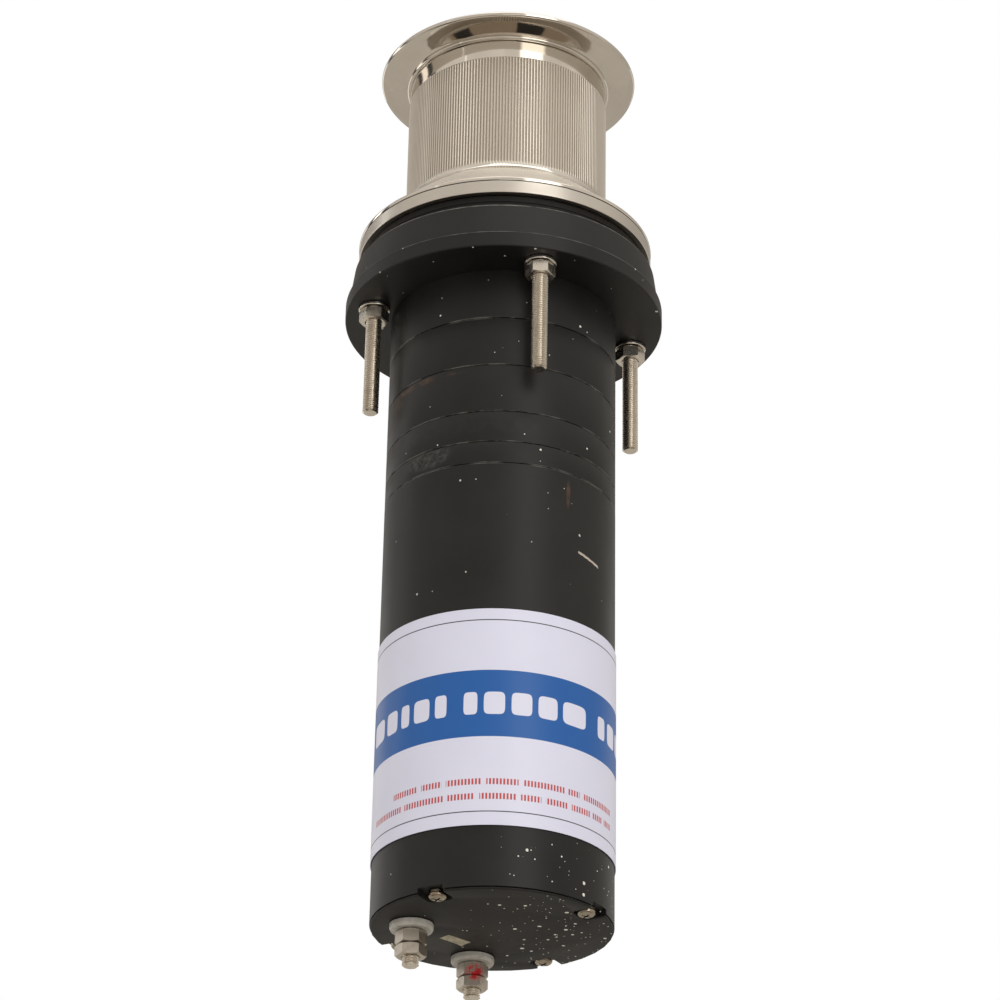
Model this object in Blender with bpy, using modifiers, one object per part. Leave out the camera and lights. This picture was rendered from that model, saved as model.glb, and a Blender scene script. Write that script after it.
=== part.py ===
"""Vertical anchor windlass: a fluted rope drum on a deck base, driven through two planetary
stages by a direct-current motor that hangs below the deck.

Frame: +Z is the drum axis, up. The origin is on that axis in the deck plane, the underside of the
base. All sizes below are in millimetres; MM turns them into Blender's metres.
"""
import math

import bmesh
import bpy
from mathutils import Matrix

MM = 0.001
GAP = 0.3                      # clearance kept between touching pieces
ROUND = 36                     # steps round the large turned pieces
SMALL = 20                     # steps round the shafts and fasteners
TINY = 12                      # steps round screw holes and pins

# Heights of the joints between the stacked pieces
DECK = 0.0
BASE_TOP = 17.4
BEZEL_BOTTOM = 25.7
BEZEL_TOP = 32.2
DRUM_BOTTOM = 32.9
DRUM_TOP = 132.5
FLUTES_BOTTOM = 58.0
FLUTES_TOP = 122.4
CROWN_TOP = 147.0
FLANGE_BOTTOM = -8.6
HOUSING_BOTTOM = -35.6
OUTPUT_RING_BOTTOM = -61.9
INPUT_RING_BOTTOM = -87.6
ADAPTER_BOTTOM = -104.1
FRONT_BELL_BOTTOM = -115.6
TUBE_BOTTOM = -330.6
PLUG_TOP = -320.3               # the end bell fits up inside the tube to here
POCKET_FLOOR = -326.0          # inside the end bell, under the brush plate
MOTOR_BOTTOM = -331.8

# Radii
BODY_R = 57.0
DRUM_R = 51.7
DRUM_FLANGE_R = 75.0
CROWN_R = 66.7
BASE_TOP_R = 76.7
BASE_R = 78.9
FLANGE_R = 80.5
SHAFT_R = 12.5
MOTOR_SHAFT_R = 8.0
TUBE_BORE_R = 52.5

# Fasteners
STUD_CIRCLE_R = 67.5
STUD_ANGLES = (15, 105, 195, 285)
STUD_R = 4.0
STUD_END = -69.0
BOLT_CIRCLE_R = 49.75
BOLT_ANGLES = (60, 150, 240, 330)
BOLT_R = 2.45
BOLT_HOLE_R = 2.8
BOLT_TOP = -24.6
NOTCH_WIDTH = 13.0
NOTCH_INNER_R = 45.2
NOTCH_TOP = -328.3
NOTCH_CORNER_R = 3.0
NUT_FLATS = 13.0
TERMINAL_CIRCLE_R = 38.0
TERMINAL_ANGLES = (192.5, 103.5)
TERMINAL_END = -352.7

# Gears: both stages share one tooth form, with the ring held and the carrier driven
MODULE = 1.75
SUN_TEETH = 12
PLANET_TEETH = 18
RING_TEETH = SUN_TEETH + 2 * PLANET_TEETH
PRESSURE_ANGLE = math.radians(20)
ADDENDUM = 0.85 * MODULE
DEDENDUM = 1.25 * MODULE
BACKLASH = 0.12                # taken off each flank
PLANET_CIRCLE_R = MODULE * (SUN_TEETH + PLANET_TEETH) / 2
PLANET_ANGLES = (0, 120, 240)
PIN_R = 4.5
CARRIER_R = 37.0

# Spindle key
KEY_LOW = 60.0
KEY_HIGH = 118.0
KEY_WIDTH = 8.0
KEY_SEAT_R = 9.3
KEY_OUTER_R = 15.6

# Label
LABEL_TOP = -193.2
LABEL_BOTTOM = -301.4
LABEL_HALF_ANGLE = 125

# Colour, metallic value and roughness of each material
FINISHES = {
    "polished_steel": ((0.72, 0.69, 0.64), 1.0, 0.12),
    "plain_steel": ((0.55, 0.53, 0.50), 1.0, 0.35),
    "gear_steel": ((0.33, 0.33, 0.34), 1.0, 0.40),
    "black_paint": ((0.020, 0.020, 0.021), 0.0, 0.45),
    "black_plastic": ((0.010, 0.010, 0.010), 0.0, 0.60),
    "black_rubber": ((0.015, 0.015, 0.015), 0.0, 0.80),
    "white_nylon": ((0.70, 0.71, 0.68), 0.0, 0.45),
    "label_film": ((0.80, 0.80, 0.84), 0.0, 0.35),
    "bronze": ((0.55, 0.33, 0.14), 1.0, 0.35),
    "copper": ((0.70, 0.33, 0.18), 1.0, 0.30),
    "core_iron": ((0.20, 0.19, 0.18), 1.0, 0.50),
    "ferrite": ((0.05, 0.05, 0.055), 0.0, 0.70),
    "carbon": ((0.03, 0.03, 0.03), 0.0, 0.60),
}


def clear_scene():
    for obj in list(bpy.data.objects):
        bpy.data.objects.remove(obj, do_unlink=True)


def new_collection(name):
    collection = bpy.data.collections.new(name)
    bpy.context.scene.collection.children.link(collection)
    return collection


def material(name):
    """The Principled material of that finish, made once and then shared."""
    if name in bpy.data.materials:
        return bpy.data.materials[name]
    colour, metallic, roughness = FINISHES[name]
    mat = bpy.data.materials.new(name)
    mat.use_nodes = True
    shader = mat.node_tree.nodes["Principled BSDF"]
    shader.inputs["Base Color"].default_value = (*colour, 1.0)
    shader.inputs["Metallic"].default_value = metallic
    shader.inputs["Roughness"].default_value = roughness
    mat.diffuse_color = (*colour, 1.0)
    return mat


def polar(radius, degrees):
    angle = math.radians(degrees)
    return radius * math.cos(angle), radius * math.sin(angle)


def arc(x, y, radius, start, end, segments):
    """Points of an arc from the start angle to the end angle, in degrees."""
    points = []
    for i in range(segments + 1):
        dx, dy = polar(radius, start + (end - start) * i / segments)
        points.append((x + dx, y + dy))
    return points


def circle(radius, steps, x=0.0, y=0.0):
    return arc(x, y, radius, 0, 360, steps)[:-1]


def rectangle(x_low, x_high, y_low, y_high):
    return [(x_low, y_low), (x_high, y_low), (x_high, y_high), (x_low, y_high)]


def key_outline(inset):
    """Plan of the spindle key, or of its keyway when nothing is taken off."""
    half = KEY_WIDTH / 2 - inset
    return rectangle(KEY_SEAT_R + inset, KEY_OUTER_R - inset, -half, half)


def nut_outlines():
    """A hexagon across its flats, with the bore that clears the thread."""
    return [circle(NUT_FLATS / 2 / math.cos(math.radians(30)), 6), circle(STUD_R + 0.35, TINY)]


def ring_of_circles(radius, steps, circle_radius, angles):
    return [circle(radius, steps, *polar(circle_radius, angle)) for angle in angles]


def bake(obj, name, collection):
    """Replace an object by the mesh that it evaluates to, welded and shaded smooth."""
    graph = bpy.context.evaluated_depsgraph_get()
    mesh = bpy.data.meshes.new_from_object(obj.evaluated_get(graph))
    mesh.name = name
    bm = bmesh.new()
    bm.from_mesh(mesh)
    bmesh.ops.remove_doubles(bm, verts=bm.verts, dist=0.00001)
    bmesh.ops.recalc_face_normals(bm, faces=bm.faces)
    bm.to_mesh(mesh)
    bm.free()
    mesh.shade_smooth()
    mesh.set_sharp_from_angle(angle=math.radians(35))
    baked = bpy.data.objects.new(name, mesh)
    baked.matrix_world = obj.matrix_world
    collection.objects.link(baked)
    bpy.data.objects.remove(obj, do_unlink=True)
    return baked


def turned(name, outline, steps, finish, place=(0.0, 0.0), collection=None):
    """A profile of (radius, height) points, down the outer side, swept round the vertical axis.

    It is closed like a ring, unless it starts on the axis and ends there.
    """
    mesh = bpy.data.meshes.new(name + "_profile")
    points = [(radius * MM, 0.0, height * MM) for radius, height in outline]
    edges = [(i, i + 1) for i in range(len(points) - 1)]
    if outline[0][0] > 0:
        edges.append((len(points) - 1, 0))
    mesh.from_pydata(points, edges, [])
    profile = bpy.data.objects.new(name + "_profile", mesh)
    bpy.context.scene.collection.objects.link(profile)
    screw = profile.modifiers.new("Turn", "SCREW")
    screw.steps = steps
    screw.render_steps = steps
    screw.use_merge_vertices = True
    screw.merge_threshold = 0.00001
    bpy.context.view_layer.update()
    obj = bake(profile, name, collection or PARTS)
    obj.data.materials.append(material(finish))
    obj.location = (place[0] * MM, place[1] * MM, 0.0)
    return obj


def plate(name, outlines, bottom, top, finish, place=(0.0, 0.0), collection=None):
    """A flat outline, with the other outlines as its holes, given a thickness."""
    curve = bpy.data.curves.new(name, "CURVE")
    curve.dimensions = "2D"
    curve.fill_mode = "BOTH"
    curve.extrude = (top - bottom) / 2 * MM
    for outline in outlines:
        spline = curve.splines.new("POLY")
        spline.points.add(len(outline) - 1)
        for point, (x, y) in zip(spline.points, outline):
            point.co = (x * MM, y * MM, 0.0, 1.0)
        spline.use_cyclic_u = True
    flat = bpy.data.objects.new(name + "_outline", curve)
    bpy.context.scene.collection.objects.link(flat)
    bpy.context.view_layer.update()
    obj = bake(flat, name, collection or PARTS)
    obj.data.materials.append(material(finish))
    obj.data.transform(Matrix.Translation((0.0, 0.0, (top + bottom) / 2 * MM)))
    obj.location = (place[0] * MM, place[1] * MM, 0.0)
    return obj


def join(target, tool, operation):
    """Cut the tool out of the target, or unite them, with a live Boolean."""
    tool.hide_render = True
    tool.display_type = "WIRE"
    boolean = target.modifiers.new(tool.name, "BOOLEAN")
    boolean.operation = operation
    boolean.solver = "EXACT"
    boolean.object = tool


def cut_holes(target, label, radius, bottom, top, circle_radius, angles, steps=TINY):
    for i, angle in enumerate(angles, 1):
        outline = circle(radius, steps)
        place = polar(circle_radius, angle)
        tool = plate(f"{label}_{i}", [outline], bottom, top, "plain_steel", place, CUTTERS)
        join(target, tool, "DIFFERENCE")


def add_pins(target, label, bottom, top):
    for i, angle in enumerate(PLANET_ANGLES, 1):
        place = polar(PLANET_CIRCLE_R, angle)
        pin = plate(f"{label}_{i}", [circle(PIN_R, TINY)], bottom, top, "gear_steel", place, CUTTERS)
        join(target, pin, "UNION")


def involute(angle):
    return math.tan(angle) - angle


def tooth_half_angle(teeth, radius, play):
    """Half the angle that an involute tooth fills at a radius, made narrower by the play."""
    pitch_r = MODULE * teeth / 2
    base_r = pitch_r * math.cos(PRESSURE_ANGLE)
    at_radius = math.acos(min(1.0, base_r / radius))
    spread = involute(PRESSURE_ANGLE) - involute(at_radius)
    return math.pi / (2 * teeth) - play / pitch_r + spread


def gear_outline(teeth, radii, play, first_tooth):
    """Outline with a tooth centred at the first angle, through each of the radii on both flanks."""
    points = []
    for tooth in range(teeth):
        centre = math.radians(first_tooth) + 2 * math.pi * tooth / teeth
        halves = [(radius, tooth_half_angle(teeth, radius, play)) for radius in radii]
        flank = [(radius, centre - half) for radius, half in halves]
        flank += [(radius, centre + half) for radius, half in reversed(halves)]
        points += [(radius * math.cos(angle), radius * math.sin(angle)) for radius, angle in flank]
    return points


def external_gear(teeth, first_tooth):
    pitch_r = MODULE * teeth / 2
    radii = (pitch_r - DEDENDUM, pitch_r, pitch_r + ADDENDUM)
    return gear_outline(teeth, radii, BACKLASH, first_tooth)


def sun_outline():
    """A sun has a tooth space where each planet has a tooth."""
    return external_gear(SUN_TEETH, 180 / SUN_TEETH)


def internal_gear():
    """The teeth of a ring: the spaces between them are the teeth of an outer gear, made wider."""
    pitch_r = MODULE * RING_TEETH / 2
    return gear_outline(RING_TEETH, (pitch_r - ADDENDUM, pitch_r + DEDENDUM), -BACKLASH, 0)


def make_drum():
    band_r = DRUM_R - 0.5
    outline = [(SHAFT_R + 0.5, DRUM_TOP), (band_r - 0.8, DRUM_TOP), (band_r, DRUM_TOP - 0.8),
               (band_r, FLUTES_TOP), (DRUM_R, FLUTES_TOP - 0.5)]
    fillet = 6.0
    slope = 50                 # steepness of the cone below the flutes, in degrees
    outline += arc(DRUM_R + fillet, FLUTES_BOTTOM, fillet, 180, 180 + 90 - slope, 3)
    outline += [(DRUM_FLANGE_R - 0.6, DRUM_BOTTOM + 1.4), (DRUM_FLANGE_R, DRUM_BOTTOM + 0.7),
                (DRUM_FLANGE_R - 0.3, DRUM_BOTTOM), (70.5, DRUM_BOTTOM), (46.5, 54.0), (46.5, 121.0),
                (21.0, 121.0), (21.0, 34.0), (SHAFT_R + 0.5, 34.0)]
    drum = turned("drum_barrel", outline, ROUND, "polished_steel")
    keyway = plate("hub_keyway", [key_outline(0)], DRUM_BOTTOM - 2, KEY_HIGH + GAP, "plain_steel",
                   collection=CUTTERS)
    join(drum, keyway, "DIFFERENCE")


def make_crown():
    rim_r = 1.5
    rim_z = 138.6
    collar_r = 52.4
    dome_r = 24.0
    dome_steps = 4
    outline = [(SHAFT_R + 0.5, CROWN_TOP), (dome_r, CROWN_TOP)]
    for i in range(1, dome_steps + 1):
        t = i / (dome_steps + 1)
        outline.append((dome_r + (CROWN_R - rim_r - dome_r) * t,
                        CROWN_TOP - (CROWN_TOP - rim_z - rim_r) * t * t))
    outline += arc(CROWN_R - rim_r, rim_z, rim_r, 80, -90, 4)
    outline += [(collar_r + 0.4, DRUM_TOP + 2.2), (collar_r, DRUM_TOP + 1.4),
                (collar_r - 0.5, DRUM_TOP + GAP), (SHAFT_R + 0.5, DRUM_TOP + GAP)]
    turned("drum_crown", outline, ROUND, "polished_steel")


def make_cap():
    outline = [(0, 157.5), (12.0, 157.0), (19.0, 155.3), (21.6, 152.0), (22.0, CROWN_TOP + GAP),
               (10.1, CROWN_TOP + GAP), (10.1, 153.2), (0, 153.2)]
    cap = turned("crown_cap", outline, SMALL, "polished_steel")
    cut_holes(cap, "spanner_hole", 2.0, 153.5, 160.0, 14.0, (0, 180))


def make_base():
    base = [(22.3, 31.8), (30.6, 31.8), (30.6, BASE_TOP), (BASE_TOP_R - 0.5, BASE_TOP),
            (BASE_TOP_R, BASE_TOP - 0.5), (BASE_R, 0.5), (BASE_R - 0.5, DECK), (16.0, DECK),
            (16.0, 3.0), (20.3, 3.0), (20.3, 25.0), (22.3, 25.0)]
    deck_base = turned("deck_base", base, ROUND, "black_paint")
    cut_holes(deck_base, "stud_socket", STUD_R + 0.35, -2.0, 14.2, STUD_CIRCLE_R, STUD_ANGLES)
    gasket_r = 72.0
    turned("bezel_gasket", [(31.0, BEZEL_BOTTOM - GAP), (gasket_r, BEZEL_BOTTOM - GAP),
                            (gasket_r, BASE_TOP + GAP), (31.0, BASE_TOP + GAP)], ROUND, "black_rubber")
    bezel_r = DRUM_FLANGE_R - 0.2
    turned("base_bezel", [(31.0, BEZEL_TOP), (bezel_r - 0.5, BEZEL_TOP), (bezel_r, BEZEL_TOP - 0.5),
                          (bezel_r, BEZEL_BOTTOM + 0.7), (bezel_r - 0.7, BEZEL_BOTTOM),
                          (31.0, BEZEL_BOTTOM)], ROUND, "polished_steel")
    turned("upper_bearing", [(12.95, 24.7), (20.0, 24.7), (20.0, 3.3), (12.95, 3.3)], SMALL, "bronze")
    turned("shaft_seal", [(13.0, 31.5), (22.0, 31.5), (22.0, 25.3), (13.0, 25.3)], SMALL, "black_rubber")


def make_gear_housing():
    shaft_bore_r = 13.6
    cavity_r = 45.0
    cavity_top = -12.0
    outline = [(shaft_bore_r, DECK - GAP), (FLANGE_R - 0.5, DECK - GAP), (FLANGE_R, DECK - GAP - 0.5),
               (FLANGE_R, FLANGE_BOTTOM + 0.5), (FLANGE_R - 0.5, FLANGE_BOTTOM),
               (BODY_R, FLANGE_BOTTOM), (BODY_R, HOUSING_BOTTOM + GAP / 2),
               (cavity_r, HOUSING_BOTTOM + GAP / 2), (cavity_r, cavity_top), (shaft_bore_r, cavity_top)]
    housing = turned("gearbox_housing", outline, ROUND, "black_paint")
    cut_holes(housing, "stud_passage", STUD_R + 0.6, -12.0, 2.0, STUD_CIRCLE_R, STUD_ANGLES)
    cut_holes(housing, "bolt_socket", BOLT_HOLE_R, -40.0, BOLT_TOP + 0.6, BOLT_CIRCLE_R, BOLT_ANGLES)


def make_stack():
    """The pieces clamped between the gear housing and the end bell by the through bolts."""
    bolt_holes = ring_of_circles(BOLT_HOLE_R, TINY, BOLT_CIRCLE_R, BOLT_ANGLES)
    body = circle(BODY_R, ROUND)
    half_gap = GAP / 2
    plate("output_ring_gear", [body, internal_gear(), *bolt_holes], OUTPUT_RING_BOTTOM + half_gap,
          HOUSING_BOTTOM - half_gap, "black_paint")
    plate("input_ring_gear", [body, internal_gear(), *bolt_holes], INPUT_RING_BOTTOM + half_gap,
          OUTPUT_RING_BOTTOM - half_gap, "black_paint")
    plate("adapter_plate", [body, circle(15.0, SMALL), *bolt_holes], ADAPTER_BOTTOM + half_gap,
          INPUT_RING_BOTTOM - half_gap, "black_paint")
    plate("motor_front_bell", [body, circle(MOTOR_SHAFT_R + 0.4, SMALL), *bolt_holes],
          FRONT_BELL_BOTTOM + half_gap, ADAPTER_BOTTOM - half_gap, "black_paint")
    tube = plate("motor_tube", [body, circle(TUBE_BORE_R, ROUND)], TUBE_BOTTOM + half_gap,
                 FRONT_BELL_BOTTOM - half_gap, "black_paint")
    cut_notches(tube)


def cut_notches(piece):
    """Cuts the four open pockets that the through bolts' heads sit in."""
    half = NOTCH_WIDTH / 2
    centre_r = NOTCH_INNER_R + NOTCH_CORNER_R
    outline = ([(BODY_R + 4, half)] + arc(centre_r, half - NOTCH_CORNER_R, NOTCH_CORNER_R, 90, 180, 5)
               + arc(centre_r, NOTCH_CORNER_R - half, NOTCH_CORNER_R, 180, 270, 5)
               + [(BODY_R + 4, -half)])
    for i, angle in enumerate(BOLT_ANGLES, 1):
        notch = plate(f"{piece.name}_notch_{i}", [outline], MOTOR_BOTTOM - 2, NOTCH_TOP,
                      "plain_steel", collection=CUTTERS)
        notch.rotation_euler.z = math.radians(angle)
        join(piece, notch, "DIFFERENCE")


def make_end_bell():
    pocket_r = 45.0
    plug_r = TUBE_BORE_R - GAP
    rim_r = BODY_R - 0.3
    rim_top = TUBE_BOTTOM - GAP / 2
    bearing_bottom = -328.6
    outline = [(0, bearing_bottom), (6.4, bearing_bottom), (6.4, PLUG_TOP), (14.0, PLUG_TOP),
               (14.0, POCKET_FLOOR), (pocket_r, POCKET_FLOOR), (pocket_r, PLUG_TOP),
               (plug_r, PLUG_TOP), (plug_r, rim_top), (rim_r, rim_top),
               (rim_r, MOTOR_BOTTOM + 0.5), (rim_r - 0.5, MOTOR_BOTTOM), (0, MOTOR_BOTTOM)]
    bell = turned("motor_end_bell", outline, ROUND, "black_paint")
    cut_holes(bell, "bell_bolt_hole", BOLT_HOLE_R, -329.5, -318.0, BOLT_CIRCLE_R, BOLT_ANGLES)
    cut_holes(bell, "terminal_hole", 5.4, -334.0, -324.0, TERMINAL_CIRCLE_R, TERMINAL_ANGLES)
    cut_notches(bell)


def make_mounting_hardware():
    washer_top = FLANGE_BOTTOM - GAP
    nut_top = washer_top - 1.6 - GAP
    for i, angle in enumerate(STUD_ANGLES, 1):
        place = polar(STUD_CIRCLE_R, angle)
        stud = [(0, 13.6), (STUD_R - 0.7, 13.6), (STUD_R, 12.9), (STUD_R, STUD_END + 0.8),
                (STUD_R - 0.8, STUD_END), (0, STUD_END)]
        turned(f"mounting_stud_{i}", stud, TINY, "plain_steel", place)
        washer = [circle(8.0, SMALL), circle(STUD_R + 0.35, TINY)]
        plate(f"stud_washer_{i}", washer, washer_top - 1.6, washer_top, "plain_steel", place)
        plate(f"stud_nut_{i}", nut_outlines(), nut_top - 6.5, nut_top, "plain_steel", place)


def make_through_bolts():
    head_top = NOTCH_TOP - GAP
    for i, angle in enumerate(BOLT_ANGLES, 1):
        bolt = [(0, BOLT_TOP), (BOLT_R, BOLT_TOP), (BOLT_R, head_top), (4.3, head_top),
                (4.3, head_top - 2.2), (3.0, head_top - 3.6), (0, head_top - 4.0)]
        turned(f"through_bolt_{i}", bolt, TINY, "plain_steel", polar(BOLT_CIRCLE_R, angle))


def make_terminals():
    sleeve_top = POCKET_FLOOR - 0.2
    flange_top = MOTOR_BOTTOM - GAP
    flange_bottom = flange_top - 3.4
    nut_top = flange_bottom - GAP
    lock_top = nut_top - 6.5 - GAP
    for i, angle in enumerate(TERMINAL_ANGLES, 1):
        place = polar(TERMINAL_CIRCLE_R, angle)
        stud = [(0, -318.4), (6.5, -318.4), (6.5, -322.4), (STUD_R, -322.4),
                (STUD_R, TERMINAL_END + 0.7), (STUD_R - 0.7, TERMINAL_END), (0, TERMINAL_END)]
        turned(f"terminal_stud_{i}", stud, TINY, "plain_steel", place)
        insulator = [(4.35, sleeve_top), (5.05, sleeve_top), (5.05, flange_top), (9.9, flange_top),
                     (10.3, flange_top - 0.4), (10.3, flange_bottom + 0.5), (9.8, flange_bottom),
                     (4.35, flange_bottom)]
        turned(f"terminal_insulator_{i}", insulator, SMALL, "white_nylon", place)
        plate(f"terminal_nut_{i}", nut_outlines(), nut_top - 6.5, nut_top, "plain_steel", place)
        plate(f"terminal_lock_nut_{i}", nut_outlines(), lock_top - 5.6, lock_top, "plain_steel", place)


def make_label():
    inner_r = BODY_R + GAP
    outer_r = inner_r + 0.25
    outside = arc(0, 0, outer_r, -90 - LABEL_HALF_ANGLE, -90 + LABEL_HALF_ANGLE, 25)
    inside = arc(0, 0, inner_r, -90 + LABEL_HALF_ANGLE, -90 - LABEL_HALF_ANGLE, 25)
    plate("motor_label", [outside + inside], LABEL_BOTTOM, LABEL_TOP, "label_film")


def make_spindle():
    """The main shaft, forged in one with the carrier of the output planets."""
    carrier_top = -22.0
    carrier_bottom = -34.6
    outline = [(0, 152.6), (8.8, 152.6), (9.7, 151.7), (9.7, 133.5), (SHAFT_R, 133.5), (SHAFT_R, -12.6),
               (17.0, -12.6), (17.0, carrier_top), (CARRIER_R, carrier_top),
               (CARRIER_R, carrier_bottom), (0, carrier_bottom)]
    spindle = turned("main_shaft", outline, SMALL, "gear_steel")
    keyway = plate("shaft_keyway", [key_outline(0)], KEY_LOW - GAP, KEY_HIGH + GAP, "gear_steel",
                   collection=CUTTERS)
    join(spindle, keyway, "DIFFERENCE")
    add_pins(spindle, "output_pin", -61.0, carrier_bottom + 3)
    plate("drum_key", [key_outline(GAP)], KEY_LOW, KEY_HIGH, "gear_steel")


def make_planets(label, bottom, top):
    for i, angle in enumerate(PLANET_ANGLES, 1):
        outlines = [external_gear(PLANET_TEETH, angle), circle(PIN_R + 0.3, TINY)]
        plate(f"{label}_{i}", outlines, bottom, top, "gear_steel", polar(PLANET_CIRCLE_R, angle))


def make_input_carrier():
    """The output sun, in one with the carrier of the input planets."""
    carrier_top = -62.0
    carrier_bottom = -69.6
    carrier = turned("output_sun", [(0, carrier_top), (CARRIER_R, carrier_top),
                                    (CARRIER_R, carrier_bottom), (0, carrier_bottom)],
                     SMALL, "gear_steel")
    teeth = plate("output_sun_teeth", [sun_outline()], carrier_top - 2, -35.5, "gear_steel",
                  collection=CUTTERS)
    join(carrier, teeth, "UNION")
    add_pins(carrier, "input_pin", -86.4, carrier_bottom + 3)


def make_armature():
    shaft = turned("armature_shaft", [(0, -76.0), (MOTOR_SHAFT_R, -76.0), (MOTOR_SHAFT_R, -318.0),
                                      (6.0, -318.0), (6.0, -328.0), (0, -328.0)], SMALL, "gear_steel")
    teeth = plate("motor_pinion_teeth", [sun_outline()], -86.6, -70.6, "gear_steel",
                  collection=CUTTERS)
    join(shaft, teeth, "UNION")
    bore = circle(MOTOR_SHAFT_R + GAP + 0.1, SMALL)
    laminations = []
    slots = 16
    pitch = 360 / slots
    for i in range(slots):
        start = i * pitch
        laminations += [polar(43.0, start), polar(43.0, start + pitch * 0.7)]
        laminations += [polar(33.0, start + pitch * 0.7), polar(33.0, start + pitch)]
    plate("armature_core", [laminations, bore], -285.0, -150.0, "core_iron")
    plate("commutator", [circle(20.3, SMALL), bore], -316.0, -294.0, "copper")


def make_magnets():
    half_angle = 34
    for i, angle in enumerate(STUD_ANGLES, 1):
        outside = arc(0, 0, TUBE_BORE_R - 0.5, angle - half_angle, angle + half_angle, 7)
        inside = arc(0, 0, 44.3, angle + half_angle, angle - half_angle, 7)
        plate(f"field_magnet_{i}", [outside + inside], -295.0, -140.0, "ferrite")


def make_brush_gear():
    floor = POCKET_FLOOR + GAP
    board_top = floor + 3.0
    terminal_holes = ring_of_circles(STUD_R + 0.4, TINY, TERMINAL_CIRCLE_R, TERMINAL_ANGLES)
    plate("brush_plate", [circle(44.6, ROUND), circle(14.5, SMALL), *terminal_holes], floor, board_top,
          "black_plastic")
    block = rectangle(20.7, 31.5, -5.0, 5.0)
    for i, angle in enumerate((45, 225), 1):
        brush = plate(f"carbon_brush_{i}", [block], board_top + GAP, -298.0, "carbon")
        brush.rotation_euler.z = math.radians(angle)


clear_scene()
PARTS = new_collection("anchor_windlass")
CUTTERS = new_collection("cutters")
make_drum()
make_crown()
make_cap()
make_base()
make_gear_housing()
make_stack()
make_end_bell()
make_mounting_hardware()
make_through_bolts()
make_terminals()
make_label()
make_spindle()
make_planets("output_planet", -60.9, -35.4)
make_input_carrier()
make_planets("input_planet", -86.6, -70.4)
make_armature()
make_magnets()
make_brush_gear()
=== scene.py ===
"""Looks of a vertical anchor windlass: fluted steel drum on top, black gear motor below the deck."""
import math

import bmesh
import bpy
from mathutils import Matrix, Vector


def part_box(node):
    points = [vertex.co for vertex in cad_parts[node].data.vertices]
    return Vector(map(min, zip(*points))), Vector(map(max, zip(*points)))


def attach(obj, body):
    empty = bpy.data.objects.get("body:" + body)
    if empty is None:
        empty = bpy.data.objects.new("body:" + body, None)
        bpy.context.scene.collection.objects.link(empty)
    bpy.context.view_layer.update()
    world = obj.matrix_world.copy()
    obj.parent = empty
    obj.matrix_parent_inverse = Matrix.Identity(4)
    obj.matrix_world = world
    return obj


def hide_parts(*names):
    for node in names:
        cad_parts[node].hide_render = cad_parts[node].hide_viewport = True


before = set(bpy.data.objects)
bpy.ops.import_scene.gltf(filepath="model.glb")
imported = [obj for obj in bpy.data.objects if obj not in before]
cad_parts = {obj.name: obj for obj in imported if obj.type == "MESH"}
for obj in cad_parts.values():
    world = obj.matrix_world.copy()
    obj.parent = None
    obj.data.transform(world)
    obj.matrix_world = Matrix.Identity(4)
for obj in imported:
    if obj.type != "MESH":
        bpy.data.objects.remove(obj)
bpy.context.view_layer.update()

MM = 0.001
ROUND_STEPS = 240  # facets round the large turned pieces
FINE_STEPS = 72  # facets round the small ones
CREASE = math.radians(32)  # edges sharper than this stay crisp
SCENE = bpy.context.scene

RIDGE_R = 51.7  # the drum over its flutes, in millimetres
FLUTES = 206  # grooves round the drum
LAND = 0.2  # the flat between two grooves, as a share of their pitch
CASE_R = 57.0  # the motor and its gear case
THREAD = {"Pitch": 1.25, "Depth": 0.66}  # of every M8 stud


# ---------------- places taken from the CAD


def heights(node):
    """Bottom and top of a CAD node, in millimetres."""
    low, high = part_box(node)
    return low.z / MM, high.z / MM


def reach(node):
    """Outer radius, bottom and top of a CAD node that is centred on the main axis, in millimetres."""
    return (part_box(node)[1].x / MM, *heights(node))


def numbered(stem, count):
    """Names of CAD nodes that differ only in their number."""
    return [f"{stem}_{number}" for number in range(1, count + 1)]


def middle(node):
    """Centre of a CAD node's box, in millimetres."""
    low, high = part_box(node)
    return (low + high) / 2 / MM


# ---------------- mesh making


def new_piece(name, mesh):
    """A linked object at the origin that holds the mesh."""
    piece = bpy.data.objects.new(name, mesh)
    SCENE.collection.objects.link(piece)
    return piece


def smooth(piece):
    """Smooth shading that keeps the true edges crisp."""
    mesh = piece.data
    mesh.shade_smooth()
    mesh.set_sharp_from_angle(angle=CREASE)
    return piece


def settle(piece):
    """Turns a piece with modifiers into the plain mesh that they make."""
    bpy.context.view_layer.update()
    graph = bpy.context.evaluated_depsgraph_get()
    mesh = bpy.data.meshes.new_from_object(piece.evaluated_get(graph))
    piece.modifiers.clear()
    piece.data = mesh
    return piece


def finish_with(piece, material):
    """Gives a piece a single material."""
    piece.data.materials.clear()
    piece.data.materials.append(material)
    return piece


def corner(before, here, after, radius, parts=4):
    """Points of one rounded corner, with a close point on either side to hold the flats flat."""
    into = Vector(before) - Vector(here)
    out = Vector(after) - Vector(here)
    angle = into.angle(out)
    if radius <= 0 or angle > math.radians(178):
        return [tuple(here)]
    back = min(radius / math.tan(angle / 2), 0.42 * into.length, 0.42 * out.length)
    radius = back * math.tan(angle / 2)
    start = Vector(here) + into.normalized() * back
    end = Vector(here) + out.normalized() * back
    centre = Vector(here) + (into.normalized() + out.normalized()).normalized() * radius / math.sin(angle / 2)
    first = start - centre
    last = end - centre
    turn = first.angle_signed(last)
    points = [tuple(start + into.normalized() * back * 0.3)]
    for step in range(parts + 1):
        spot = first.copy()
        spot.rotate(Matrix.Rotation(-turn * step / parts, 2))
        points.append(tuple(centre + spot))
    points.append(tuple(end + out.normalized() * back * 0.3))
    return points


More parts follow.
